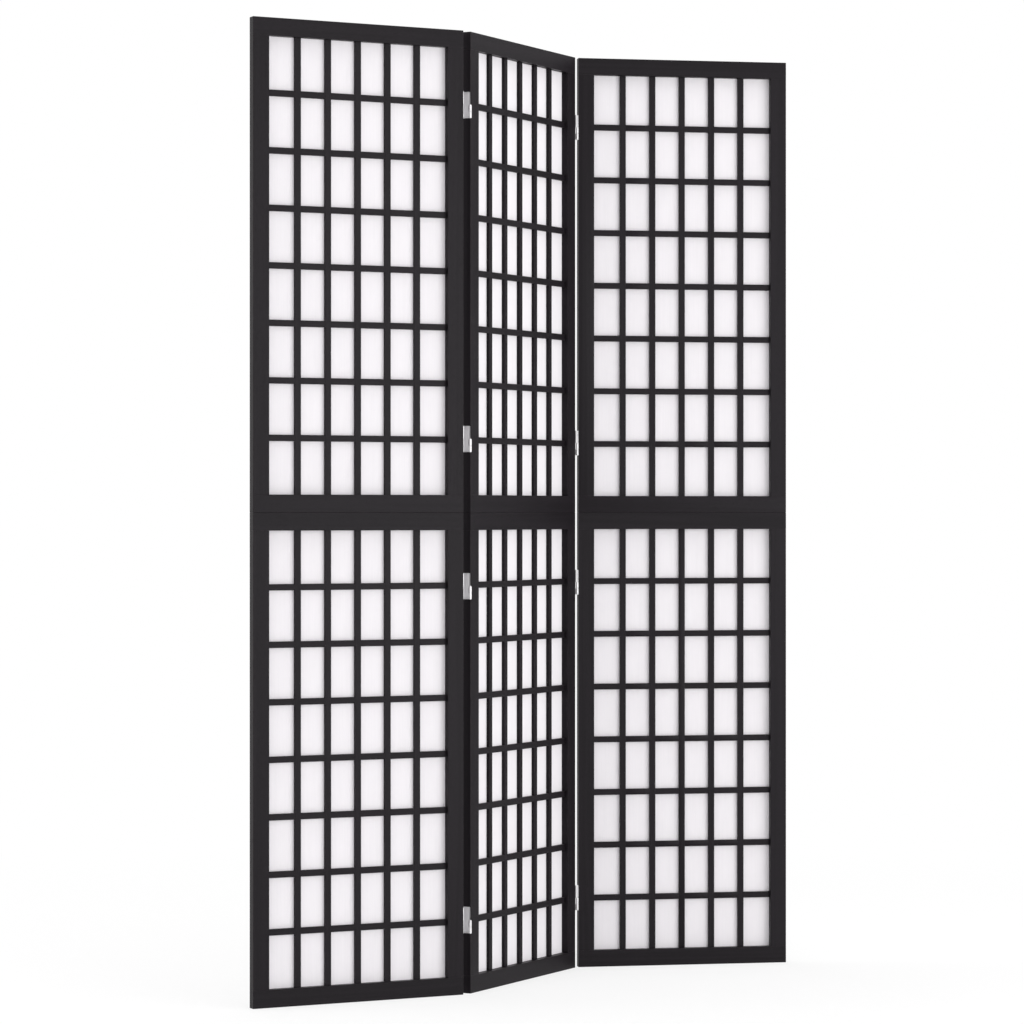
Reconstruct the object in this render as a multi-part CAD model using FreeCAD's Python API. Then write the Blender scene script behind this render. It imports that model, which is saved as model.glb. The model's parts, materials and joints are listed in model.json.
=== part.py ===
import FreeCAD, Part
import math
import os

# Folding screen of three lattice panels, in millimetres and degrees.
# X runs along the middle panel from left to right, Y from its front to its back, Z up.
# The origin lies on the floor, under the centre of the middle panel.

# Panels. Each one is two equal half-frames, one standing on the other.
panel_width = 400.0
half_height = 850.0
panel_depth = 16.0
stile_width = 30.0
rail_width = 31.0
eased_edge = 0.5
joint_end_gap = 0.8

# Angle that each outer panel has turned away from the line of the middle one.
left_fold = 34.8
right_fold = 51.2

# Stub tenons on the ends of the stiles.
tenon_length = 20.0
tenon_width = 18.0
tenon_thickness = 6.0
tenon_clearance = 0.1

# Lattice bars.
bar_width = 11.0
bar_depth = 6.0
bar_setback = 7.0
upright_count = 5
crossbar_count = 7
outer_column = 51.0
outer_row = 92.0
bar_housing = 5.0
housing_clearance = 0.1
lap_clearance = 0.1

# Paper and the ledge that it is pasted on.
paper_thickness = 0.4
paper_ledge = 9.0
paper_edge_gap = 1.0

# Tongues and screws that join the two half-frames of a panel.
tongue_width = 24.0
tongue_thickness = 6.0
tongue_reach = 14.0
tongue_clearance = 0.1
joint_screw_shank = 4.0
joint_screw_head = 8.0
joint_screw_head_height = 3.0
joint_screw_counterbore = 5.0
joint_screw_reach = 18.0
joint_screw_clearance = 0.1

# Two-way hinges. The back pin takes the upper part of a hinge and the front pin the lower part.
hinge_height = 46.0
hinge_inset = 130.0
leaf_thickness = 1.0
leaf_margin = 1.0
knuckle_diameter = 4.8
knuckle_gap = 0.4
pin_diameter = 2.4
pin_clearance = 0.05
pin_overhang = 0.6
pin_proud = 0.8

# Flats that stand for a round on the small parts, which repeat many times.
barrel_sides = 10
pin_sides = 8
screw_sides = 6

# Derived sizes of a half-frame.
ledge_depth = bar_setback + bar_depth
opening_width = panel_width - 2 * stile_width
opening_height = half_height - 2 * rail_width
column_pitch = (opening_width - 2 * outer_column - bar_width) / (upright_count - 1)
row_pitch = (opening_height - 2 * outer_row - bar_width) / (crossbar_count - 1)
upright_starts = [stile_width + outer_column + i * column_pitch for i in range(upright_count)]
crossbar_starts = [rail_width + outer_row + i * row_pitch for i in range(crossbar_count)]
lap_depth = bar_depth / 2
lap_plane = bar_setback + lap_depth
inner_rail_top = half_height - rail_width

# Derived sizes of a hinge, with X = 0 on the end of the left-hand panel.
knuckle_radius = knuckle_diameter / 2
fold_gap = 2 * knuckle_diameter - leaf_thickness
back_pin_x = knuckle_radius
front_pin_x = fold_gap - knuckle_radius
back_pin_y = panel_depth + pin_proud
front_pin_y = -pin_proud
link_start = (fold_gap - leaf_thickness) / 2
hinge_heights = [
    base + inset
    for base in (0.0, half_height)
    for inset in (hinge_inset, half_height - hinge_inset)
]

up = FreeCAD.Vector(0, 0, 1)


def block(x_span, y_span, z_span):
    corner = FreeCAD.Vector(x_span[0], y_span[0], z_span[0])
    return Part.makeBox(
        x_span[1] - x_span[0], y_span[1] - y_span[0], z_span[1] - z_span[0], corner
    )


def grown(span, clearance):
    return (span[0] - clearance, span[1] + clearance)


def centred(middle, size):
    return (middle - size / 2, middle + size / 2)


def rod(diameter, x, y, z_span, sides=pin_sides):
    corners = []
    for i in range(sides + 1):
        angle = 2 * math.pi * i / sides
        corners.append(
            FreeCAD.Vector(
                x + diameter / 2 * math.cos(angle),
                y + diameter / 2 * math.sin(angle),
                z_span[0],
            )
        )
    outline = Part.Face(Part.makePolygon(corners))
    return outline.extrude(up * (z_span[1] - z_span[0]))


def bore(diameter, clearance, x, y, z_span, sides=pin_sides):
    across_flats = diameter + 2 * clearance
    return rod(across_flats / math.cos(math.pi / sides), x, y, z_span, sides)


# Half-frame: one eased slab is shared out between two rails of full width and two stiles.
def eased_slab():
    slab = block((0, panel_width), (0, panel_depth), (0, half_height))
    return slab.makeChamfer(eased_edge, slab.Edges)


def paper_recess():
    return block(
        (stile_width - paper_ledge, panel_width - stile_width + paper_ledge),
        (ledge_depth, panel_depth),
        (rail_width - paper_ledge, inner_rail_top + paper_ledge),
    )


def tenon_spans(stile_left, z_span):
    return (
        centred(stile_left + stile_width / 2, tenon_width),
        centred(panel_depth / 2, tenon_thickness),
        z_span,
    )


def stile(slab, left):
    body = slab.common(
        block((left, left + stile_width), (0, panel_depth), (rail_width, inner_rail_top))
    )
    body = body.cut(paper_recess())
    tenon = tenon_spans(left, (rail_width - tenon_length, inner_rail_top + tenon_length))
    shoulder = block(*tenon_spans(left, (rail_width, inner_rail_top)))
    body = body.fuse(block(*tenon).cut(shoulder))
    return body.removeSplitter()


def rail(slab, bottom, inner_edge, direction):
    body = slab.common(
        block((0, panel_width), (0, panel_depth), (bottom, bottom + rail_width))
    )
    body = body.cut(paper_recess())
    floor = inner_edge - direction * (tenon_length + joint_end_gap)
    for left in (0, panel_width - stile_width):
        x_span, y_span, z_span = tenon_spans(left, sorted((inner_edge, floor)))
        body = body.cut(
            block(grown(x_span, tenon_clearance), grown(y_span, tenon_clearance), z_span)
        )
    housing_floor = inner_edge - direction * (bar_housing + housing_clearance)
    for start in upright_starts:
        body = body.cut(
            block(
                grown((start, start + bar_width), housing_clearance),
                (bar_setback, ledge_depth),
                sorted((inner_edge, housing_floor)),
            )
        )
    return body


# Lattice: uprights pass in front, cross bars behind, and both faces of the grid are flush.
def upright(start):
    bar = block(
        (start, start + bar_width),
        (bar_setback, ledge_depth),
        (rail_width - bar_housing, inner_rail_top + bar_housing),
    )
    for low in crossbar_starts:
        lap = block(
            (start, start + bar_width),
            (lap_plane, ledge_depth),
            grown((low, low + bar_width), lap_clearance),
        )
        bar = bar.cut(lap)
    return bar


def crossbar(low):
    bar = block(
        (stile_width, panel_width - stile_width),
        (bar_setback, ledge_depth),
        (low, low + bar_width),
    )
    for start in upright_starts:
        lap = block(
            grown((start, start + bar_width), lap_clearance),
            (bar_setback, lap_plane),
            (low, low + bar_width),
        )
        bar = bar.cut(lap)
    return bar


def paper():
    reach = paper_ledge - paper_edge_gap
    return block(
        (stile_width - reach, panel_width - stile_width + reach),
        (ledge_depth, ledge_depth + paper_thickness),
        (rail_width - reach, inner_rail_top + reach),
    )


# Joint at mid-height. Tongues are in line with the two outer columns, screws with the next two.
column_middles = [stile_width + outer_column / 2] + [
    upright_starts[i] + bar_width + (column_pitch - bar_width) / 2
    for i in range(upright_count - 1)
]
column_middles.append(panel_width - column_middles[0])
tongue_columns = (column_middles[0], column_middles[-1])
screw_columns = (column_middles[1], column_middles[-2])
screw_head_top = inner_rail_top + joint_screw_counterbore


def tongue(x, clearance, end_gap):
    return block(
        grown(centred(x, tongue_width), clearance),
        grown(centred(panel_depth / 2, tongue_thickness), clearance),
        grown(centred(half_height, 2 * tongue_reach), end_gap),
    )


def joint_screw(x):
    head = rod(
        joint_screw_head,
        x,
        panel_depth / 2,
        (screw_head_top - joint_screw_head_height, screw_head_top),
        screw_sides,
    )
    shank = rod(
        joint_screw_shank,
        x,
        panel_depth / 2,
        (screw_head_top, half_height + joint_screw_reach),
        screw_sides,
    )
    return head.fuse(shank)


def joint_screw_hole(x):
    mouth = bore(
        joint_screw_head,
        joint_screw_clearance,
        x,
        panel_depth / 2,
        (inner_rail_top, screw_head_top),
        screw_sides,
    )
    shaft = bore(
        joint_screw_shank,
        joint_screw_clearance,
        x,
        panel_depth / 2,
        (screw_head_top, half_height + joint_screw_reach + joint_end_gap),
        screw_sides,
    )
    return mouth.fuse(shaft)


def joint_recesses():
    cuts = [tongue(x, tongue_clearance, joint_end_gap) for x in tongue_columns]
    return cuts + [joint_screw_hole(x) for x in screw_columns]


def half_frame():
    slab = eased_slab()
    return {
        "left_stile": stile(slab, 0),
        "right_stile": stile(slab, panel_width - stile_width),
        "top_rail": rail(slab, inner_rail_top, inner_rail_top, -1),
        "bottom_rail": rail(slab, 0, rail_width, 1),
        "uprights": Part.makeCompound([upright(start) for start in upright_starts]),
        "crossbars": Part.makeCompound([crossbar(low) for low in crossbar_starts]),
        "paper": paper(),
    }


def panel():
    lower = half_frame()
    upper = {name: shape.copy() for name, shape in lower.items()}
    for shape in upper.values():
        shape.translate(FreeCAD.Vector(0, 0, half_height))
    for recess in joint_recesses():
        lower["top_rail"] = lower["top_rail"].cut(recess)
        upper["bottom_rail"] = upper["bottom_rail"].cut(recess)
    pieces = {"lower_" + name: shape for name, shape in lower.items()}
    pieces.update({"upper_" + name: shape for name, shape in upper.items()})
    pieces["tongues"] = Part.makeCompound([tongue(x, 0, 0) for x in tongue_columns])
    pieces["joint_screws"] = Part.makeCompound([joint_screw(x) for x in screw_columns])
    return pieces


# Hinge: plates with rolled knuckles, the two pins at the back and the front face of the panels.
hinge_top = hinge_height / 2
knuckle_length = hinge_top / 2 - knuckle_gap
plate_back = back_pin_y - knuckle_radius - knuckle_gap
plate_front = front_pin_y + knuckle_radius + knuckle_gap
back_leaf_span = (knuckle_gap, knuckle_gap + knuckle_length)
back_link_span = (hinge_top - knuckle_length, hinge_top)
front_leaf_span = (-knuckle_gap - knuckle_length, -knuckle_gap)
front_link_span = (-hinge_top, knuckle_length - hinge_top)


def plate(x_start, y_span, z_span):
    return block((x_start, x_start + leaf_thickness), y_span, z_span)


def knuckle(x_start, pin_x, pin_y, y_root, z_span):
    barrel = rod(knuckle_diameter, pin_x, pin_y, z_span, barrel_sides)
    strap = plate(x_start, sorted((pin_y, y_root)), z_span)
    return barrel.fuse(strap).cut(bore(pin_diameter, pin_clearance, pin_x, pin_y, z_span))


def hinge_plate(x_start, knuckles):
    upper_part = plate(x_start, (leaf_margin, plate_back), (0, hinge_top))
    lower_part = plate(x_start, (plate_front, panel_depth - leaf_margin), (-hinge_top, 0))
    body = upper_part.fuse([lower_part] + knuckles)
    return body.removeSplitter()


def left_leaf():
    back = knuckle(0, back_pin_x, back_pin_y, plate_back, back_leaf_span)
    return hinge_plate(0, [back])


def right_leaf():
    start = fold_gap - leaf_thickness
    front = knuckle(start, front_pin_x, front_pin_y, plate_front, front_leaf_span)
    return hinge_plate(start, [front])


def link():
    back = knuckle(link_start, back_pin_x, back_pin_y, plate_back, back_link_span)
    front = knuckle(link_start, front_pin_x, front_pin_y, plate_front, front_link_span)
    return hinge_plate(link_start, [back, front])


def hinge_pins():
    back = rod(pin_diameter, back_pin_x, back_pin_y, grown((0, hinge_top), pin_overhang))
    front = rod(pin_diameter, front_pin_x, front_pin_y, grown((-hinge_top, 0), pin_overhang))
    return [back, front]


def at_hinge_heights(shapes):
    copies = []
    for height in hinge_heights:
        for shape in shapes:
            raised = shape.copy()
            raised.translate(FreeCAD.Vector(0, 0, height))
            copies.append(raised)
    return Part.makeCompound(copies)


# Places: every panel and hinge is first laid in line with the middle panel, then turned.
front_plane = -panel_depth / 2
middle_left_end = -panel_width / 2
middle_right_end = panel_width / 2
left_gap_start = middle_left_end - fold_gap
left_pin = FreeCAD.Vector(left_gap_start + back_pin_x, front_plane + back_pin_y, 0)
right_pin = FreeCAD.Vector(middle_right_end + front_pin_x, front_plane + front_pin_y, 0)


def placed(shape, x_start, pin=None, turn=0.0):
    moved = shape.copy()
    moved.translate(FreeCAD.Vector(x_start, front_plane, 0))
    if pin is not None:
        moved.rotate(pin, up, turn)
    return moved


def screen():
    pieces = {}
    for name, shape in panel().items():
        pieces["left_" + name] = placed(
            shape, left_gap_start - panel_width, left_pin, -left_fold
        )
        pieces["middle_" + name] = placed(shape, middle_left_end)
        pieces["right_" + name] = placed(
            shape, middle_right_end + fold_gap, right_pin, -right_fold
        )
    first_leaves = at_hinge_heights([left_leaf()])
    last_leaves = at_hinge_heights([right_leaf()])
    links = at_hinge_heights([link()])
    pins = at_hinge_heights(hinge_pins())
    pieces["left_hinge_outer_leaves"] = placed(
        first_leaves, left_gap_start, left_pin, -left_fold
    )
    pieces["left_hinge_inner_leaves"] = placed(last_leaves, left_gap_start)
    pieces["left_hinge_links"] = placed(links, left_gap_start)
    pieces["left_hinge_pins"] = placed(pins, left_gap_start)
    pieces["right_hinge_inner_leaves"] = placed(first_leaves, middle_right_end)
    pieces["right_hinge_outer_leaves"] = placed(
        last_leaves, middle_right_end, right_pin, -right_fold
    )
    pieces["right_hinge_links"] = placed(links, middle_right_end)
    pieces["right_hinge_pins"] = placed(pins, middle_right_end)
    return pieces


os.makedirs("parts", exist_ok=True)
for node, shape in screen().items():
    shape.exportStep("parts/" + node + ".step")
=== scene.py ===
import json
import math
import random

import bmesh
import bpy
from mathutils import Matrix, Vector


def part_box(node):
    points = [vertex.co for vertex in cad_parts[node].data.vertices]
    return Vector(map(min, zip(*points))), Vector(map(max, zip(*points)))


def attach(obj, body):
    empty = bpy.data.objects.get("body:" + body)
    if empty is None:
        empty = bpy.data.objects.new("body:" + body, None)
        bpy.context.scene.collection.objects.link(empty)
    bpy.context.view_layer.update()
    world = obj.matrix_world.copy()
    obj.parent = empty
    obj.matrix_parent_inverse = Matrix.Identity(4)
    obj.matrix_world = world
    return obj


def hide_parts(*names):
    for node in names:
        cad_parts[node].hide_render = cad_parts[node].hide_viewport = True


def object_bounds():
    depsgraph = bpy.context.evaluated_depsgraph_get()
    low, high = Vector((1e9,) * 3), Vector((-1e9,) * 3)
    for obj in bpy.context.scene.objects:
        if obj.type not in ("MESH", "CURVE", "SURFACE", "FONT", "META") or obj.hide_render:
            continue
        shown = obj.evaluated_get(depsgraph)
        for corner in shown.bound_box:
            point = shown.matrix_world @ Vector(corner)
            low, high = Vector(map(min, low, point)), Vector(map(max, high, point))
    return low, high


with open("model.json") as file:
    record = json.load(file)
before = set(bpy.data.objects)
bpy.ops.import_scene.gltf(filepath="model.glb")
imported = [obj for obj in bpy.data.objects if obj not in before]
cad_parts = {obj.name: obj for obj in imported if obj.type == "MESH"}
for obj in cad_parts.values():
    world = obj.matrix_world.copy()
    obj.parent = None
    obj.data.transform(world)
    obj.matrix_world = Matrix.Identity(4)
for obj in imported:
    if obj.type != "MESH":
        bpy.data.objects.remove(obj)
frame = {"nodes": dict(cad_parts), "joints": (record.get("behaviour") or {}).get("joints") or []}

cadLow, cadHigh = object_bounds()
millimetre = 0.001
tiny = 1e-7  # metres within which two places are the same
mergeWithin = 0.005 * millimetre
panelNames = ("left", "middle", "right")
halfNames = ("lower", "upper")
joints = {joint["name"]: joint for joint in frame["joints"]}


class Signal:
    # One output socket of a node. Sums on it add Math nodes to its tree.
    def __init__(self, net, socket):
        self.net = net
        self.socket = socket

    def math(self, operation, first, second):
        return self.net.add("Math", {"operation": operation}, {0: first, 1: second})

    def __add__(self, other):
        return self.math("ADD", self, other)

    def __radd__(self, other):
        return self.math("ADD", other, self)

    def __sub__(self, other):
        return self.math("SUBTRACT", self, other)

    def __rsub__(self, other):
        return self.math("SUBTRACT", other, self)

    def __mul__(self, other):
        return self.math("MULTIPLY", self, other)

    def __rmul__(self, other):
        return self.math("MULTIPLY", other, self)


class Net:
    # A node tree that is filled with one call for each node.
    def __init__(self, tree):
        self.tree = tree
        tree.nodes.clear()

    def add(self, kind, settings=None, sockets=None, out=0):
        node = self.tree.nodes.new("ShaderNode" + kind)
        for key, value in (settings or {}).items():
            if key == "stops":
                self.setStops(node.color_ramp, value)
            else:
                setattr(node, key, value)
        for key, value in (sockets or {}).items():
            if isinstance(value, Signal):
                self.tree.links.new(value.socket, node.inputs[key])
            else:
                node.inputs[key].default_value = value
        return Signal(self, node.outputs[out]) if len(node.outputs) else node

    def setStops(self, ramp, stops):
        while len(ramp.elements) < len(stops):
            ramp.elements.new(1.0)
        for element, (place, shade) in zip(ramp.elements, stops):
            element.position = place
            element.color = (shade, shade, shade, 1.0)

    def mixColour(self, factor, first, second):
        return self.add("Mix", {"data_type": "RGBA"}, {0: factor, 6: first, 7: second}, 2)

    def stretchedNoise(self, where, scale, detail=2.0, roughness=0.5, distortion=0.0):
        spread = self.add("Mapping", {}, {"Vector": where, "Scale": scale})
        return self.add("TexNoise", {}, {
            "Vector": spread,
            "Scale": 1.0,
            "Detail": detail,
            "Roughness": roughness,
            "Distortion": distortion,
        })

    def ramp(self, signal, low, high):
        return self.add("ValToRGB", {"stops": [(low, 0.0), (high, 1.0)]}, {"Fac": signal})


def newMaterial(name):
    material = bpy.data.materials.new(name)
    material.use_nodes = True
    return material, Net(material.node_tree)


def colour(red, green, blue):
    return (red, green, blue, 1.0)


# Finishes. Colours are linear.
blackStain = {
    "deep": colour(0.0078, 0.0063, 0.0078),
    "pale": colour(0.0152, 0.0122, 0.0152),
    "arrisHighlight": colour(0.0300, 0.0250, 0.0270),  # painted highlight on the arrises, a paler colour standing in for light caught on the edges
    "roughness": 0.43,
    "specular": 0.10,
    "ringScale": (0.9, 34.0, 34.0),  # along and across the grain, per metre
    "ringCount": 5.0,
    "ringBlur": 0.4,
    "ringWarp": 0.3,
    "fibreScale": (26.0, 1300.0, 1300.0),
    "poreScale": (130.0, 2300.0, 2300.0),
    "poreEdge": (0.30, 0.42),  # noise below the first is a pore, above the second none
    "highlightScale": (60.0, 240.0, 240.0),
    "highlightEdge": (0.42, 0.66),
    "highlightLeast": 0.25,  # how much painted highlight every arris gets, and how much more at most in patches
    "highlightMore": 0.6,
    "toneOf": {"rings": 0.30, "fibres": 0.55, "member": 0.22},
    "reliefOf": {"rings": 0.25, "fibres": 0.5, "pores": 0.7},
    "roughnessOf": {"pores": 0.16, "fibres": 0.10, "arris": -0.06},
    "depth": 0.00004,
}


def blackWood():
    material, net = newMaterial("blackWood")
    v = blackStain
    grain = net.add("Attribute", {"attribute_name": "grain"}, out="Vector")
    tone = net.add("Attribute", {"attribute_name": "tone"}, out="Fac")
    arris = net.add("Attribute", {"attribute_name": "arris"}, out="Fac")
    figure = net.stretchedNoise(grain, v["ringScale"], 2.0, v["ringBlur"], v["ringWarp"])
    phase = figure * (2 * math.pi * v["ringCount"])
    rings = 0.5 + 0.5 * net.add("Math", {"operation": "SINE"}, {0: phase})
    fibres = net.stretchedNoise(grain, v["fibreScale"], 3.0, 0.6)
    pores = net.ramp(net.stretchedNoise(grain, v["poreScale"], 1.0), *v["poreEdge"])
    # noise patches that set where the painted highlight on the arrises is stronger
    highlightPatches = net.ramp(net.stretchedNoise(grain, v["highlightScale"], 3.0, 0.7), *v["highlightEdge"])
    share = v["toneOf"]
    light = share["rings"] * rings + share["fibres"] * fibres + share["member"] * (tone - 0.5)
    base = net.mixColour(light, v["deep"], v["pale"])
    base = net.mixColour(1 - pores, base, v["deep"])
    # painted highlight: the arrises are lightened in noisy patches to stand in for light caught on
    # the edges
    base = net.mixColour(arris * (v["highlightLeast"] + v["highlightMore"] * highlightPatches), base, v["arrisHighlight"])
    share = v["reliefOf"]
    height = share["fibres"] * fibres + share["pores"] * pores + share["rings"] * rings
    bump = net.add("Bump", {}, {"Strength": 1.0, "Distance": v["depth"], "Height": height})
    share = v["roughnessOf"]
    rough = v["roughness"] + share["pores"] * (1 - pores)
    rough = rough + share["fibres"] * (fibres - 0.5) + share["arris"] * arris
    surface = net.add("BsdfPrincipled", {}, {
        "Base Color": base,
        "Roughness": rough,
        "Normal": bump,
        "Specular IOR Level": v["specular"],
    })
    net.add("OutputMaterial", {}, {"Surface": surface})
    return material


bareTimber = {
    "early": colour(0.58, 0.43, 0.27),
    "late": colour(0.42, 0.29, 0.17),
    "roughness": 0.7,
    "specular": 0.3,
    "ringScale": (4.0, 160.0, 160.0),
    "ringEdge": (0.35, 0.65),
    "fibreScale": (60.0, 1500.0, 1500.0),
    "lateOf": {"rings": 0.6, "fibres": 0.3},
    "fuzz": 0.1,  # roughness that the fibres add
    "depth": 0.00006,
}


def bareWood():
    material, net = newMaterial("bareWood")
    v = bareTimber
    grain = net.add("Attribute", {"attribute_name": "grain"}, out="Vector")
    rings = net.ramp(net.stretchedNoise(grain, v["ringScale"], 2.0, 0.5, 0.4), *v["ringEdge"])
    fibres = net.stretchedNoise(grain, v["fibreScale"], 3.0, 0.6)
    late = v["lateOf"]["rings"] * rings + v["lateOf"]["fibres"] * fibres
    base = net.mixColour(late, v["early"], v["late"])
    bump = net.add("Bump", {}, {"Strength": 1.0, "Distance": v["depth"], "Height": fibres})
    surface = net.add("BsdfPrincipled", {}, {
        "Base Color": base,
        "Roughness": v["roughness"] + v["fuzz"] * fibres,
        "Normal": bump,
        "Specular IOR Level": v["specular"],
    })
    net.add("OutputMaterial", {}, {"Surface": surface})
    return material


whitePaper = {
    "thin": colour(0.925, 0.902, 0.925),
    "thick": colour(0.833, 0.812, 0.834),
    "roughness": 0.78,
    "specular": 0.2,
    "cloudScale": (38.0, 38.0, 38.0),
    "streakScale": (9.0, 420.0, 420.0),  # along and across the sheet's fibres, per metre
    "streakEdge": (0.38, 0.68),
    "fibreScale": (90.0, 1700.0, 1700.0),
    "fibreEdge": (0.45, 0.75),
    "fibreCurl": 1.2,
    "thickOf": {"clouds": 0.32, "streaks": 0.24, "fibres": 0.26},
    "reliefOf": {"clouds": 0.5, "fibres": 0.7},
    "smoothFibres": 0.1,  # roughness that the fibres take away
    "letsThrough": 0.22,  # share of the light that the sheet scatters through itself
    "throughColour": colour(0.88, 0.86, 0.88),
    "depth": 0.00005,
}


def fibredPaper():
    material, net = newMaterial("fibredPaper")
    v = whitePaper
    grain = net.add("Attribute", {"attribute_name": "grain"}, out="Vector")
    clouds = net.stretchedNoise(grain, v["cloudScale"], 4.0, 0.6, 0.5)
    streaks = net.ramp(net.stretchedNoise(grain, v["streakScale"]), *v["streakEdge"])
    fibres = net.stretchedNoise(grain, v["fibreScale"], distortion=v["fibreCurl"])
    fibres = net.ramp(fibres, *v["fibreEdge"])
    share = v["thickOf"]
    body = share["clouds"] * clouds + share["streaks"] * streaks + share["fibres"] * fibres
    base = net.mixColour(body, v["thin"], v["thick"])
    height = v["reliefOf"]["clouds"] * clouds + v["reliefOf"]["fibres"] * fibres
    bump = net.add("Bump", {}, {"Strength": 1.0, "Distance": v["depth"], "Height": height})
    front = net.add("BsdfPrincipled", {}, {
        "Base Color": base,
        "Roughness": v["roughness"] - v["smoothFibres"] * fibres,
        "Normal": bump,
        "Specular IOR Level": v["specular"],
    })
    through = net.add("BsdfTranslucent", {}, {"Color": v["throughColour"], "Normal": bump})
    surface = net.add("MixShader", {}, {0: v["letsThrough"], 1: front, 2: through})
    net.add("OutputMaterial", {}, {"Surface": surface})
    return material


metalWear = {  # the same on every metal here
    "smudgeScale": (150.0, 150.0, 150.0),
    "dullLines": 0.6,
    "dullSmudge": 0.4,
    "roughSmudge": 0.14,
    "roughLines": 0.08,
}


def brushedMetal(name, v):
    material, net = newMaterial(name)
    where = net.add("TexCoord", {}, {}, "Object")
    lines = net.stretchedNoise(where, v["lineScale"], 2.0, 0.6)
    smudge = net.stretchedNoise(where, metalWear["smudgeScale"], 3.0, 0.6)
    dulling = metalWear["dullLines"] * lines + metalWear["dullSmudge"] * smudge
    base = net.mixColour(dulling, v["bright"], v["dull"])
    bump = net.add("Bump", {}, {"Strength": 1.0, "Distance": v["depth"], "Height": lines})
    rough = v["roughness"] + metalWear["roughSmudge"] * (smudge - 0.5)
    rough = rough + metalWear["roughLines"] * (lines - 0.5)
    surface = net.add("BsdfPrincipled", {}, {
        "Base Color": base,
        "Roughness": rough,
        "Normal": bump,
        "Metallic": 1.0,
    })
    net.add("OutputMaterial", {}, {"Surface": surface})
    return material


hingeFinish = {
    "bright": colour(0.78, 0.77, 0.78),
    "dull": colour(0.62, 0.61, 0.625),
    "roughness": 0.52,
    "lineScale": (2600.0, 2600.0, 90.0),  # fine drawn lines run up the strip
    "depth": 0.00001,
}
zincFinish = {
    "bright": colour(0.70, 0.72, 0.75),
    "dull": colour(0.48, 0.50, 0.53),
    "roughness": 0.30,
    "lineScale": (900.0, 900.0, 900.0),
    "depth": 0.00001,
}


def piece(name, bm, material, body, replaced=()):
    mesh = bpy.data.meshes.new(name)
    bm.to_mesh(mesh)
    bm.free()
    mesh.materials.append(material)
    thing = bpy.data.objects.new(name, mesh)
    bpy.context.scene.collection.objects.link(thing)
    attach(thing, body)
    if replaced:
        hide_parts(*replaced)
    return thing


def islands(bm):
    # The separate solids of a mesh, as lists of vertices.
    left = set(bm.verts)
    found = []
    while left:
        start = min(left, key=lambda vert: vert.index)
        group = {start}
        edgeOfGroup = [start]
        while edgeOfGroup:
            vert = edgeOfGroup.pop()
            for edge in vert.link_edges:
                other = edge.other_vert(vert)
                if other not in group:
                    group.add(other)
                    edgeOfGroup.append(other)
        left -= group
        found.append(sorted(group, key=lambda vert: vert.index))
    return found


def mergedCopy(node):
    bm = bmesh.new()
    bm.from_mesh(frame["nodes"][node].data)
    bmesh.ops.remove_doubles(bm, verts=bm.verts, dist=mergeWithin)
    bm.verts.index_update()
    return bm


def corners(points):
    low = Vector([min(point[i] for point in points) for i in range(3)])
    high = Vector([max(point[i] for point in points) for i in range(3)])
    return low, high


def solidBoxes(node, turn=Matrix.Identity(4)):
    # Lowest and highest corner of each solid of a node, in axes turned with its panel.
    bm = mergedCopy(node)
    back = turn.inverted()
    boxes = [corners([back @ vert.co for vert in group]) for group in islands(bm)]
    bm.free()
    return sorted(boxes, key=lambda box: tuple(box[0]))


# Each panel's turn from the line of the middle one is how far its pin can straighten it.
panelTurns = {
    "left": Matrix.Rotation(math.radians(joints["left_back_pin"]["range_deg"][0]), 4, "Z"),
    "middle": Matrix.Identity(4),
    "right": Matrix.Rotation(math.radians(joints["right_front_pin"]["range_deg"][0]), 4, "Z"),
}


timber = {
    "arrisFrame": 0.35 * millimetre,
    "arrisBar": 0.22 * millimetre,
    "arrisSteps": 2,
    "sharperThan": 28.0,  # degrees between two faces
    "flatWithin": 1.0,  # degrees, to join the triangles of one face
    "grainShift": 40.0,  # metres at most, so that no two members share their figure
    "seed": 11,
}
rng = random.Random(timber["seed"])


def easedTimber(node, body, alongRail, turn, arris, material):
    bm = mergedCopy(node)
    flatWithin = math.radians(timber["flatWithin"])
    bmesh.ops.dissolve_limit(bm, angle_limit=flatWithin, verts=bm.verts, edges=bm.edges)
    toneLayer = bm.faces.layers.float.new("tone")
    arrisLayer = bm.faces.layers.float.new("arris")
    sharp = [
        edge for edge in bm.edges
        if len(edge.link_faces) == 2
        and edge.calc_face_angle() > math.radians(timber["sharperThan"])
    ]
    eased = bmesh.ops.bevel(
        bm, geom=sharp, offset=arris, offset_type="OFFSET", segments=timber["arrisSteps"],
        profile=0.5, affect="EDGES", material=-1, clamp_overlap=True,
    )
    for face in eased["faces"]:
        face[arrisLayer] = 1.0
    bmesh.ops.triangulate(bm, faces=[face for face in bm.faces if len(face.verts) > 4])
    bm.verts.index_update()
    grainLayer = bm.verts.layers.float_vector.new("grain")
    back = turn.inverted()
    for group in islands(bm):
        shift = Vector([rng.uniform(0.0, timber["grainShift"]) for i in range(3)])
        tone = rng.random()
        for vert in group:
            place = back @ vert.co
            length, width = (place.x, place.z) if alongRail else (place.z, place.x)
            vert[grainLayer] = Vector((length, width, place.y)) + shift
            for face in vert.link_faces:
                face[toneLayer] = tone
    return piece(node + "_timber", bm, material, body, [node])


stain = blackWood()
members = {  # name of a member: does its grain run along the rails, and its arris
    "left_stile": (False, timber["arrisFrame"]),
    "right_stile": (False, timber["arrisFrame"]),
    "top_rail": (True, timber["arrisFrame"]),
    "bottom_rail": (True, timber["arrisFrame"]),
    "uprights": (False, timber["arrisBar"]),
    "crossbars": (True, timber["arrisBar"]),
}
for panel in panelNames:
    for half in halfNames:
        for member, (alongRail, arris) in members.items():
            easedTimber(
                f"{panel}_{half}_{member}", panel + "_panel", alongRail, panelTurns[panel],
                arris, stain,
            )
print("timber: frames and lattices eased")

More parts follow.
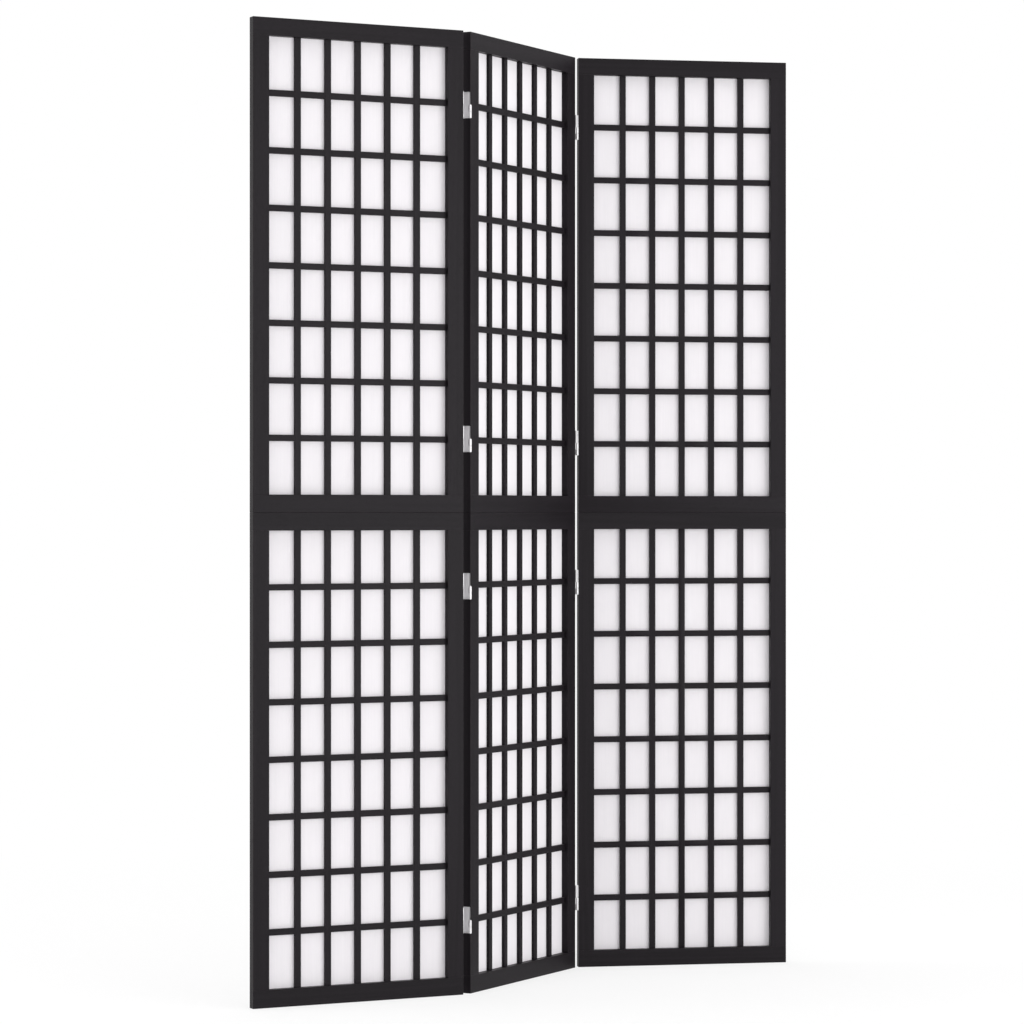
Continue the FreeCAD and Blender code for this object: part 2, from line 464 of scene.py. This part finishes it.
sawn = bareWood()
for panel in panelNames:
    easedTimber(
        panel + "_tongues", panel + "_panel", False, panelTurns[panel],
        timber["arrisFrame"], sawn,
    )
print("timber: tongues at mid-height")


sheetOfPaper = {
    "cutsAcross": 6,  # steps across each window of the lattice
    "cutsUp": 10,
    "sag": 0.45 * millimetre,  # how far a window's middle stands back from the bars
    "sagSpread": 0.25 * millimetre,
    "fullness": 0.6,  # under 1, the slack spreads towards the bars
    "grainShift": 40.0,
    "seed": 29,
}
paperRng = random.Random(sheetOfPaper["seed"])


def windowsBetween(low, high, bars):
    # The clear spans between bars, from the sheet's one border to the other.
    edges = [low] + [edge for bar in bars for edge in bar] + [high]
    return [(edges[i], edges[i + 1]) for i in range(0, len(edges), 2)]


def cutLines(windows, steps):
    return [a + (b - a) * i / steps for a, b in windows for i in range(steps + 1)]


def paperSheet(panel, half, material):
    node = f"{panel}_{half}_paper"
    turn = panelTurns[panel]
    low, high = solidBoxes(node, turn)[0]
    stem = f"{panel}_{half}_"
    insideLeft = solidBoxes(stem + "left_stile", turn)[0][1].x
    insideRight = solidBoxes(stem + "right_stile", turn)[0][0].x
    insideBottom = solidBoxes(stem + "bottom_rail", turn)[0][1].z
    insideTop = solidBoxes(stem + "top_rail", turn)[0][0].z
    uprights = [(box[0].x, box[1].x) for box in solidBoxes(stem + "uprights", turn)]
    crossbars = sorted((box[0].z, box[1].z) for box in solidBoxes(stem + "crossbars", turn))
    columns = windowsBetween(insideLeft, insideRight, uprights)
    rows = windowsBetween(insideBottom, insideTop, crossbars)

    bm = bmesh.new()
    sheet = bmesh.ops.create_grid(bm, x_segments=1, y_segments=1, size=0.5)
    bmesh.ops.scale(bm, vec=(high.x - low.x, high.z - low.z, 1.0), verts=sheet["verts"])
    bmesh.ops.rotate(bm, matrix=Matrix.Rotation(math.radians(90), 3, "X"), verts=bm.verts)
    middle = Vector(((low.x + high.x) / 2, low.y, (low.z + high.z) / 2))
    bmesh.ops.translate(bm, vec=middle, verts=bm.verts)
    for normal, places in (
        ((1, 0, 0), cutLines(columns, sheetOfPaper["cutsAcross"])),
        ((0, 0, 1), cutLines(rows, sheetOfPaper["cutsUp"])),
    ):
        for place in places:
            bmesh.ops.bisect_plane(
                bm, geom=bm.verts[:] + bm.edges[:] + bm.faces[:], dist=tiny,
                plane_co=Vector(normal) * place, plane_no=normal,
            )
    sags = {
        (i, j): sheetOfPaper["sag"] + paperRng.uniform(-1, 1) * sheetOfPaper["sagSpread"]
        for i in range(len(columns)) for j in range(len(rows))
    }
    for vert in bm.verts:
        for i, (left, right) in enumerate(columns):
            if left < vert.co.x < right:
                for j, (bottom, top) in enumerate(rows):
                    if bottom < vert.co.z < top:
                        across = math.sin(math.pi * (vert.co.x - left) / (right - left))
                        up = math.sin(math.pi * (vert.co.z - bottom) / (top - bottom))
                        vert.co.y += sags[i, j] * (across * up) ** sheetOfPaper["fullness"]
    bmesh.ops.recalc_face_normals(bm, faces=bm.faces)
    facing = sum(face.normal.y for face in bm.faces)
    if facing > 0:
        bmesh.ops.reverse_faces(bm, faces=bm.faces)
    bmesh.ops.solidify(bm, geom=bm.faces[:], thickness=high.y - low.y)
    bmesh.ops.recalc_face_normals(bm, faces=bm.faces)
    grainLayer = bm.verts.layers.float_vector.new("grain")
    shift = Vector([paperRng.uniform(0.0, sheetOfPaper["grainShift"]) for i in range(3)])
    for vert in bm.verts:
        vert[grainLayer] = Vector((vert.co.z, vert.co.x, vert.co.y)) + shift
    for face in bm.faces:
        face.smooth = abs(face.normal.y) > 0.5
    bmesh.ops.transform(bm, matrix=turn, verts=bm.verts)
    made = piece(node + "_sheet", bm, material, panel + "_panel", [node])


paperFinish = fibredPaper()
for panel in panelNames:
    for half in halfNames:
        paperSheet(panel, half, paperFinish)
print("paper: six sheets stretched behind the lattice")


# Screws. The rings of a screw are the radius and depth of its turned shape, in millimetres.
leafScrew = {
    "rings": [(2.1, -0.25), (1.05, -1.5), (1.05, -8.0), (0.55, -10.5)],
    "top": 2.3,
    "crown": 0.18,
    "slot": 0.42,  # half width of the cross
    "slotReach": 1.45,
    "slotDepth": 0.7,
    "slotTaper": 0.62,  # the cross's floor against its mouth
    "sides": 24,
}
jointScrew = {
    "rings": [(3.95, -0.9), (3.7, -2.9), (1.95, -3.0), (1.95, -50.5), (1.2, -52.8)],
    "top": 3.2,
    "crown": 0.5,
    "slot": 0.6,
    "slotReach": 2.2,
    "slotDepth": 1.4,
    "slotTaper": 0.62,
    "sides": 32,
}


onHead = 0.001 * millimetre  # a point less than this below the head's rim is on the head


def screwMesh(name, v):
    # A turned screw with a cross cut in its head. Its head is at the origin and it points down.
    bm = bmesh.new()
    bmesh.ops.create_circle(
        bm, cap_ends=True, cap_tris=False, segments=v["sides"], radius=v["top"] * millimetre,
    )
    loop = bm.edges[:]
    for radius, depth in v["rings"]:
        out = bmesh.ops.extrude_edge_only(bm, edges=loop)["geom"]
        verts = [item for item in out if isinstance(item, bmesh.types.BMVert)]
        loop = [item for item in out if isinstance(item, bmesh.types.BMEdge)]
        for vert in verts:
            flat = Vector((vert.co.x, vert.co.y, 0.0)).normalized() * radius * millimetre
            vert.co = Vector((flat.x, flat.y, depth * millimetre))
    bmesh.ops.contextual_create(bm, geom=loop)
    half, reach = v["slot"] * millimetre, v["slotReach"] * millimetre
    for away in (half, reach):
        for normal in ((1, 0, 0), (0, 1, 0)):
            for side in (-away, away):
                top = [face for face in bm.faces if face.calc_center_median().z > -onHead]
                near = [item for face in top for item in [face, *face.edges, *face.verts]]
                geom = list(dict.fromkeys(near))
                bmesh.ops.bisect_plane(
                    bm, geom=geom, dist=tiny, plane_co=Vector(normal) * side, plane_no=normal,
                )
    cross = []
    for face in bm.faces:
        centre = face.calc_center_median()
        inArm = min(abs(centre.x), abs(centre.y)) < half
        inReach = max(abs(centre.x), abs(centre.y)) < reach
        if centre.z > -onHead and inArm and inReach:
            cross.append(face)
    out = bmesh.ops.extrude_face_region(bm, geom=cross)["geom"]
    bmesh.ops.delete(bm, geom=cross, context="FACES")
    for item in out:
        if isinstance(item, bmesh.types.BMVert):
            item.co.x *= v["slotTaper"]
            item.co.y *= v["slotTaper"]
            item.co.z -= v["slotDepth"] * millimetre
    for vert in bm.verts:
        if vert.co.z > -onHead:
            share = math.hypot(vert.co.x, vert.co.y) / (v["top"] * millimetre)
            vert.co.z += v["crown"] * millimetre * (1 - share * share)
    bmesh.ops.recalc_face_normals(bm, faces=bm.faces)
    bm.normal_update()
    for face in bm.faces:
        face.smooth = len(face.verts) == 4 and abs(face.normal.z) < 0.9
    mesh = bpy.data.meshes.new(name)
    bm.to_mesh(mesh)
    bm.free()
    return mesh


def placedCopies(mesh, places):
    # One bmesh that holds a copy of mesh at each place, a 4x4 matrix.
    bm = bmesh.new()
    for place in places:
        known = len(bm.verts)
        bm.from_mesh(mesh)
        bm.verts.ensure_lookup_table()
        bmesh.ops.transform(bm, matrix=place, verts=bm.verts[known:])
    return bm


zinc = brushedMetal("zincPlate", zincFinish)
jointScrewMesh = screwMesh("jointScrewShape", jointScrew)
for panel in panelNames:
    node = panel + "_joint_screws"
    upward = Matrix.Rotation(math.pi, 4, "X")
    places = []
    for low, high in solidBoxes(node, panelTurns[panel]):
        foot = (low + high) / 2
        foot.z = low.z + jointScrew["crown"] * millimetre
        places.append(panelTurns[panel] @ Matrix.Translation(foot) @ upward)
    piece(
        panel + "_joint_screws_turned", placedCopies(jointScrewMesh, places), zinc,
        panel + "_panel", [node],
    )
print("screws: joint screws at mid-height")


hinge = {
    "strip": 1.0 * millimetre,  # thickness of the rolled strip
    "margin": 1.0 * millimetre,  # from a leaf's straight edge to the panel's face
    "gap": 0.4 * millimetre,
    "roll": 285.0,  # degrees that a knuckle is rolled round its pin
    "rollSteps": 22,
    "corner": 1.6 * millimetre,
    "cornerSteps": 4,
    "edge": 0.12 * millimetre,
    "edgeSteps": 2,
    "edgeSharperThan": 40.0,  # degrees
    "pin": 2.4 * millimetre,
    "pinProud": 0.6 * millimetre,
    "pinRound": 0.5 * millimetre,
    "pinRoundSteps": 4,
    "pinSides": 28,
    "screwHeights": (14.5 * millimetre, -14.5 * millimetre),
    "screwSink": 0.05 * millimetre,
}
steel = brushedMetal("satinSteel", hingeFinish)
leafScrewMesh = screwMesh("leafScrewShape", leafScrew)
panelFront, panelBack = [corner.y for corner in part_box("middle_lower_left_stile")]


def foldPlan(side):
    # The pins of one fold, the radius of its knuckles and the heights of its hinges.
    back = Vector(joints[side + "_back_pin"]["pos_m"])
    front = Vector(joints[side + "_front_pin"]["pos_m"])
    boxes = solidBoxes(side + "_hinge_links")
    low, high = boxes[0]
    return {
        "back": back,
        "front": front,
        "radius": back.x - low.x,
        "heights": sorted((box[0].z + box[1].z) / 2 for box in boxes),
        "halfHeight": (high.z - low.z) / 2,
    }


def stripShape(bm, plan, x, knuckles):
    # A flat strip in the plane x, with its knuckles rolled round the pins. It has no thickness yet.
    top = plan["halfHeight"]
    radius = plan["radius"]
    gap = hinge["gap"]
    backEdge = plan["back"].y - radius - gap
    frontEdge = plan["front"].y + radius + gap
    parts = [
        (panelFront + hinge["margin"], backEdge, 0.0, top),
        (frontEdge, panelBack - hinge["margin"], -top, 0.0),
    ]
    straps = []
    for pin, z0, z1 in knuckles:
        centre = plan[pin]
        root = backEdge if pin == "back" else frontEdge
        straps.append((*sorted((root, centre.y)), z0, z1))
    low = min(part[0] for part in parts + straps)
    high = max(part[1] for part in parts + straps)
    made = bmesh.ops.create_grid(bm, x_segments=1, y_segments=1, size=0.5)
    turn = Matrix.Rotation(math.radians(90), 3, "Y") @ Matrix.Rotation(math.radians(90), 3, "Z")
    bmesh.ops.scale(bm, vec=(high - low, 2 * top, 1.0), verts=made["verts"])
    bmesh.ops.rotate(bm, matrix=turn, verts=bm.verts)
    bmesh.ops.translate(bm, vec=(x, (low + high) / 2, 0.0), verts=bm.verts)
    for axis, places in (
        ((0, 1, 0), sorted({part[i] for part in parts + straps for i in (0, 1)})),
        ((0, 0, 1), sorted({part[i] for part in parts + straps for i in (2, 3)})),
    ):
        for place in places:
            bmesh.ops.bisect_plane(
                bm, geom=bm.verts[:] + bm.edges[:] + bm.faces[:], dist=tiny,
                plane_co=Vector(axis) * place, plane_no=axis,
            )
    outside = []
    for face in bm.faces:
        centre = face.calc_center_median()
        inside = [
            part for part in parts + straps
            if part[0] < centre.y < part[1] and part[2] < centre.z < part[3]
        ]
        if not inside:
            outside.append(face)
    bmesh.ops.delete(bm, geom=outside, context="FACES")
    for pin, z0, z1 in knuckles:
        centre = plan[pin]
        lips = [
            edge for edge in bm.edges
            if all(abs(vert.co.y - centre.y) < tiny for vert in edge.verts)
            and all(z0 - tiny < vert.co.z < z1 + tiny for vert in edge.verts)
        ]
        outward = 1.0 if pin == "back" else -1.0
        side = 1.0 if x > centre.x else -1.0
        bmesh.ops.spin(
            bm, geom=lips, cent=centre, axis=(0, 0, 1), steps=hinge["rollSteps"],
            angle=math.radians(hinge["roll"]) * outward * side, use_merge=False,
            use_duplicate=False,
        )
    bmesh.ops.remove_doubles(bm, verts=bm.verts, dist=tiny)
    ends = [
        vert for vert in bm.verts
        if abs(abs(vert.co.z) - top) < tiny and len(vert.link_edges) == 2
        and panelFront < vert.co.y < panelBack
    ]
    bmesh.ops.bevel(
        bm, geom=ends, offset=hinge["corner"], offset_type="OFFSET",
        segments=hinge["cornerSteps"], profile=0.5, affect="VERTICES", material=-1,
        clamp_overlap=True,
    )


def stripPiece(name, side, x, knuckles, place, body, node):
    plan = plans[side]
    single = bmesh.new()
    stripShape(single, plan, x, knuckles)
    bmesh.ops.recalc_face_normals(single, faces=single.faces)
    mesh = bpy.data.meshes.new(name + "Shape")
    single.to_mesh(mesh)
    single.free()
    places = [place @ Matrix.Translation((0, 0, height)) for height in plan["heights"]]
    made = piece(name, placedCopies(mesh, places), steel, body, [node])
    wall = made.modifiers.new("wall", "SOLIDIFY")
    wall.thickness = hinge["strip"]
    wall.offset = 0.0
    wall.use_even_offset = True
    soft = made.modifiers.new("edge", "BEVEL")
    soft.width = hinge["edge"]
    soft.segments = hinge["edgeSteps"]
    soft.limit_method = "ANGLE"
    soft.angle_limit = math.radians(hinge["edgeSharperThan"])
    soft.harden_normals = True
    for polygon in made.data.polygons:
        polygon.use_smooth = True


def pinsOf(side):
    plan = plans[side]
    bm = bmesh.new()
    spans = {"back": (0.0, plan["halfHeight"]), "front": (-plan["halfHeight"], 0.0)}
    for height in plan["heights"]:
        for pin, (z0, z1) in spans.items():
            length = z1 - z0 + 2 * hinge["pinProud"]
            centre = plan[pin] + Vector((0, 0, height + (z0 + z1) / 2))
            made = bmesh.ops.create_cone(
                bm, cap_ends=True, cap_tris=False, segments=hinge["pinSides"],
                radius1=hinge["pin"] / 2, radius2=hinge["pin"] / 2, depth=length,
                matrix=Matrix.Translation(centre),
            )
            rims = dict.fromkeys(
                edge for vert in made["verts"] for edge in vert.link_edges
                if abs(edge.verts[0].co.z - edge.verts[1].co.z) < tiny
            )
            bmesh.ops.bevel(
                bm, geom=list(rims), offset=hinge["pinRound"], offset_type="OFFSET",
                segments=hinge["pinRoundSteps"], profile=0.5, affect="EDGES", material=-1,
                clamp_overlap=True,
            )
    for face in bm.faces:
        face.smooth = True
    piece(
        side + "_hinge_pins_turned", bm, steel, side + "_links",
        [side + "_hinge_pins"],
    )


def screwsOf(name, side, x, facing, place, body):
    # Two screws in each leaf, driven from the gap into the stile.
    plan = plans[side]
    inward = Matrix.Rotation(math.radians(90) * facing, 4, "Y")
    places = []
    for height in plan["heights"]:
        for z in hinge["screwHeights"]:
            spot = Vector((x, (panelFront + panelBack) / 2, height + z))
            roll = Matrix.Rotation(rng.uniform(0, math.pi), 4, "Z")
            places.append(place @ Matrix.Translation(spot) @ inward @ roll)
    piece(name, placedCopies(leafScrewMesh, places), zinc, body)


plans = {side: foldPlan(side) for side in ("left", "right")}
upright = Matrix.Identity(4)


def aboutPin(pin, turn):
    return Matrix.Translation(pin) @ turn @ Matrix.Translation(-pin)


for side in ("left", "right"):
    plan = plans[side]
    half = hinge["strip"] / 2
    top = plan["halfHeight"]
    length = top / 2 - hinge["gap"]
    start = plan["back"].x - plan["radius"]  # end face of the left-hand panel
    finish = plan["front"].x + plan["radius"]  # end face of the right-hand panel
    firstX, linkX, lastX = start + half, (start + finish) / 2, finish - half
    leafBack = ("back", hinge["gap"], hinge["gap"] + length)
    linkBack = ("back", top - length, top)
    leafFront = ("front", -hinge["gap"] - length, -hinge["gap"])
    linkFront = ("front", -top, length - top)
    if side == "left":
        firstBody, firstNode = "left_panel", "left_hinge_outer_leaves"
        firstPlace = aboutPin(plan["back"], panelTurns["left"])
        lastBody, lastNode, lastPlace = "middle_panel", "left_hinge_inner_leaves", upright
    else:
        firstBody, firstNode, firstPlace = "middle_panel", "right_hinge_inner_leaves", upright
        lastBody, lastNode = "right_panel", "right_hinge_outer_leaves"
        lastPlace = aboutPin(plan["front"], panelTurns["right"])
    stripPiece(firstNode + "_rolled", side, firstX, [leafBack], firstPlace, firstBody, firstNode)
    stripPiece(lastNode + "_rolled", side, lastX, [leafFront], lastPlace, lastBody, lastNode)
    stripPiece(
        side + "_hinge_links_rolled", side, linkX, [linkBack, linkFront], upright,
        side + "_links", side + "_hinge_links",
    )
    pinsOf(side)
    proud = hinge["strip"] - hinge["screwSink"]
    screwsOf(firstNode + "_screws", side, start + proud, 1.0, firstPlace, firstBody)
    screwsOf(lastNode + "_screws", side, finish - proud, -1.0, lastPlace, lastBody)
print("hinges: leaves, links, pins and screws")


stage = {
    "floorColour": colour(0.95, 0.95, 0.95),
    "floorSize": 60.0,
    "shadowShare": 0.30,  # how much of the floor's own shading shows near the object
    "shadowFade": (0.9, 2.6),  # metres from the object over which that share goes to nothing
    "ambient": 0.58,
    "boxes": {
        "keyBox": {"place": (-0.1, -4.9, 1.1), "size": 2.2, "power": 62.0},
        "frontBox": {"place": (-2.5, -5.4, 1.0), "size": 3.0, "power": 88.0},
        "topBox": {"place": (0.0, -0.3, 5.0), "size": 5.0, "power": 130.0},
        "backBox": {"place": (-2.4, 4.5, 1.5), "size": 3.0, "power": 88.0},
    },
}


def seenDirectly(net):
    # Camera, glossy and transmitted rays see the plain white background.
    paths = [net.add("LightPath", {}, {}, name) for name in
             ("Is Camera Ray", "Is Glossy Ray", "Is Transmission Ray")]
    total = paths[0] + paths[1] + paths[2]
    return net.add("Math", {"operation": "MINIMUM"}, {0: total, 1: 1.0})


def makeFloor():
    bm = bmesh.new()
    bmesh.ops.create_grid(bm, x_segments=1, y_segments=1, size=stage["floorSize"] / 2)
    mesh = bpy.data.meshes.new("floor")
    bm.to_mesh(mesh)
    bm.free()
    floor = bpy.data.objects.new("floor", mesh)
    bpy.context.scene.collection.objects.link(floor)
    material, net = newMaterial("paleFloor")
    where = net.add("TexCoord", {}, {}, "Object")
    distance = net.add("VectorMath", {"operation": "LENGTH"}, {0: where}, "Value")
    near = net.add("MapRange", {"interpolation_type": "SMOOTHSTEP"}, {
        "Value": distance,
        "From Min": stage["shadowFade"][0],
        "From Max": stage["shadowFade"][1],
        "To Min": stage["shadowShare"],
        "To Max": 0.0,
    })
    lit = net.add("BsdfDiffuse", {}, {"Color": stage["floorColour"]})
    white = net.add("Emission", {}, {"Color": colour(1.0, 1.0, 1.0), "Strength": 1.0})
    share = seenDirectly(net) * (1 - near)
    surface = net.add("MixShader", {}, {0: share, 1: lit, 2: white})
    net.add("OutputMaterial", {}, {"Surface": surface})
    mesh.materials.append(material)


def makeWorld():
    world = bpy.data.worlds.new("studio")
    world.use_nodes = True
    bpy.context.scene.world = world
    net = Net(world.node_tree)
    direct = seenDirectly(net)
    strength = stage["ambient"] + (1 - stage["ambient"]) * direct
    sky = net.add("Background", {}, {"Color": colour(1.0, 1.0, 1.0), "Strength": strength})
    net.add("OutputWorld", {}, {"Surface": sky})


def softBox(name, v):
    lamp = bpy.data.lights.new(name, "AREA")
    lamp.shape = "SQUARE"
    lamp.size = v["size"]
    lamp.energy = v["power"]
    thing = bpy.data.objects.new(name, lamp)
    bpy.context.scene.collection.objects.link(thing)
    thing.location = v["place"]
    aim = (cadLow + cadHigh) / 2 - Vector(v["place"])
    thing.rotation_euler = aim.to_track_quat("-Z", "Y").to_euler()


makeFloor()
makeWorld()
for name, values in stage["boxes"].items():
    softBox(name, values)
print("stage: floor, world and lights")

view = {
    "place": (-5.568, -3.018, 0.851),
    "heading": -61.4,  # degrees about Z from looking along +Y
    "lens": 122.45,
    "sensor": 36.0,
    "farthest": 200.0,  # metres
}
lens = bpy.data.cameras.new("camera")
lens.lens = view["lens"]
lens.sensor_width = view["sensor"]
lens.clip_end = view["farthest"]
camera = bpy.data.objects.new("camera", lens)
bpy.context.scene.collection.objects.link(camera)
camera.location = view["place"]
camera.rotation_euler = (math.radians(90), 0.0, math.radians(view["heading"]))
bpy.context.scene.camera = camera
bpy.context.scene.view_settings.view_transform = "Standard"
print("camera: set at the photograph's angle")
